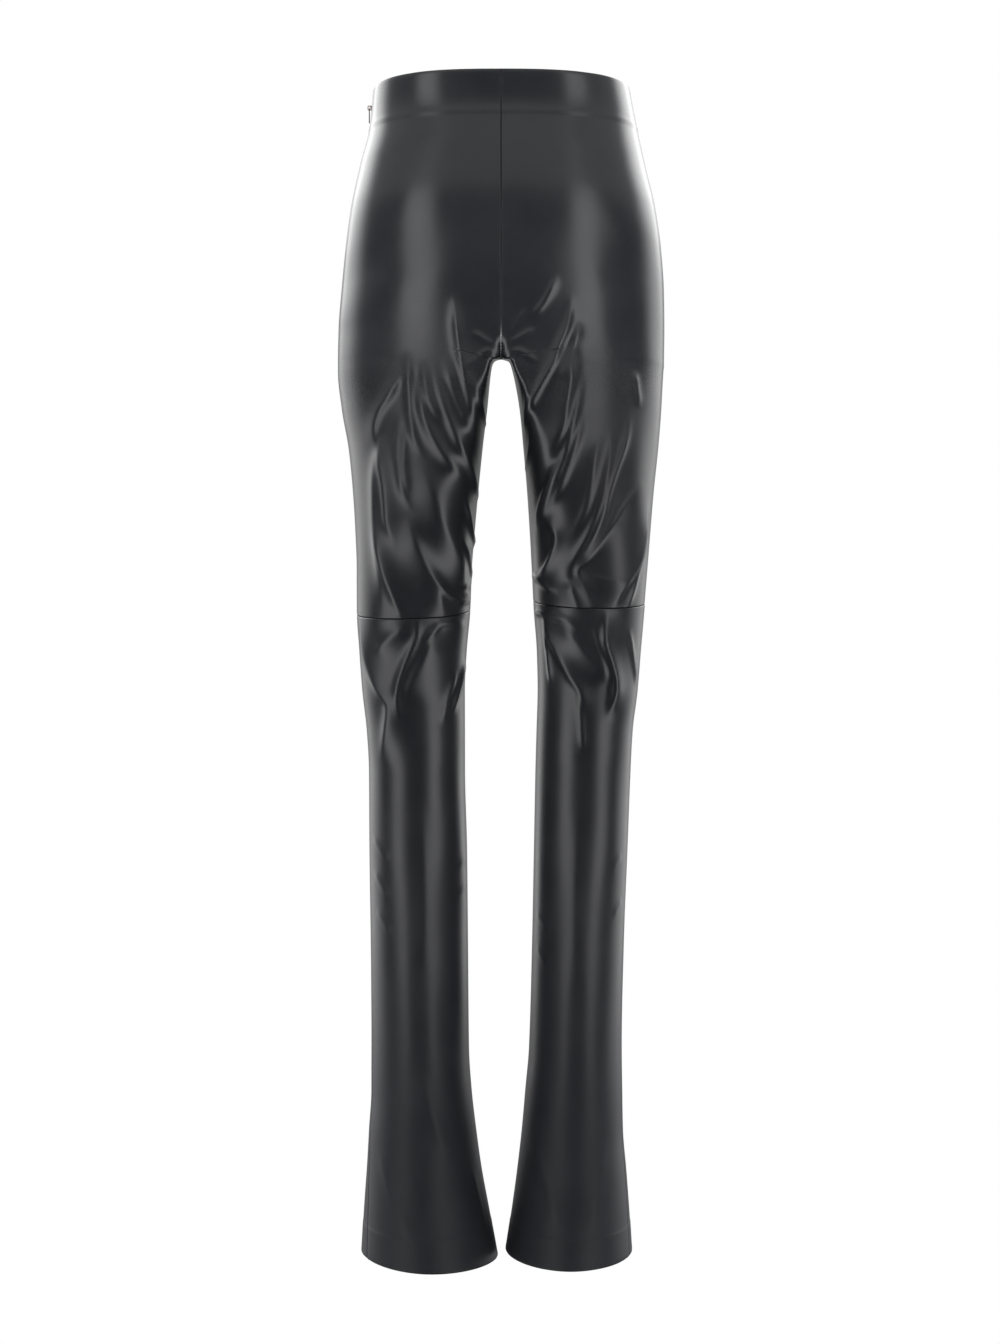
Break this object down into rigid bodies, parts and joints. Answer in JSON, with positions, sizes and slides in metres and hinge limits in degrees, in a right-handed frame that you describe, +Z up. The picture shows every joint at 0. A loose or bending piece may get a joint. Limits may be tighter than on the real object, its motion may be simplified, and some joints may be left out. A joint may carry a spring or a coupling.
{
  "type": "flared leggings",
  "caption": "High-waisted flared leggings in glossy black leather-like cloth, filled out and hollow, with knee seams, turned-up hems and a concealed side zip.",
  "frame": {"origin": "middle of the waist opening, level with its top edge, where the wearer holds the garment up", "axes": "+Z up out of the waist, -Y out of the front, -X towards the wearer's right"},
  "size_m": [0.3203, 0.2139, 1.1375],
  "materials": {
    "coated_cloth": "glossy black polyurethane-coated stretch cloth with a fine grain",
    "zip_tape": "matt black woven polyester tape",
    "zip_metal": "dark painted die-cast metal"
  },
  "bodies": {
    "garment": {"front_right_upper": "coated_cloth", "back_right_upper": "coated_cloth", "front_left_upper": "coated_cloth", "back_left_upper": "coated_cloth", "front_right_lower": "coated_cloth", "back_right_lower": "coated_cloth", "front_left_lower": "coated_cloth", "back_left_lower": "coated_cloth", "waist_facing_front": "coated_cloth", "waist_facing_back": "coated_cloth", "zip_tape_front": "zip_tape", "zip_tape_back": "zip_tape", "zip_slider": "zip_metal"},
    "pull_tab": {"zip_pull": "zip_metal"}
  },
  "joints": [
    {"name": "zip_pull_swing", "type": "hinge", "parent": "garment", "child": "pull_tab", "pos_m": [-0.129, 0, -0.012], "axis": [0, 1, 0], "range_deg": [0, 160]}
  ]
}
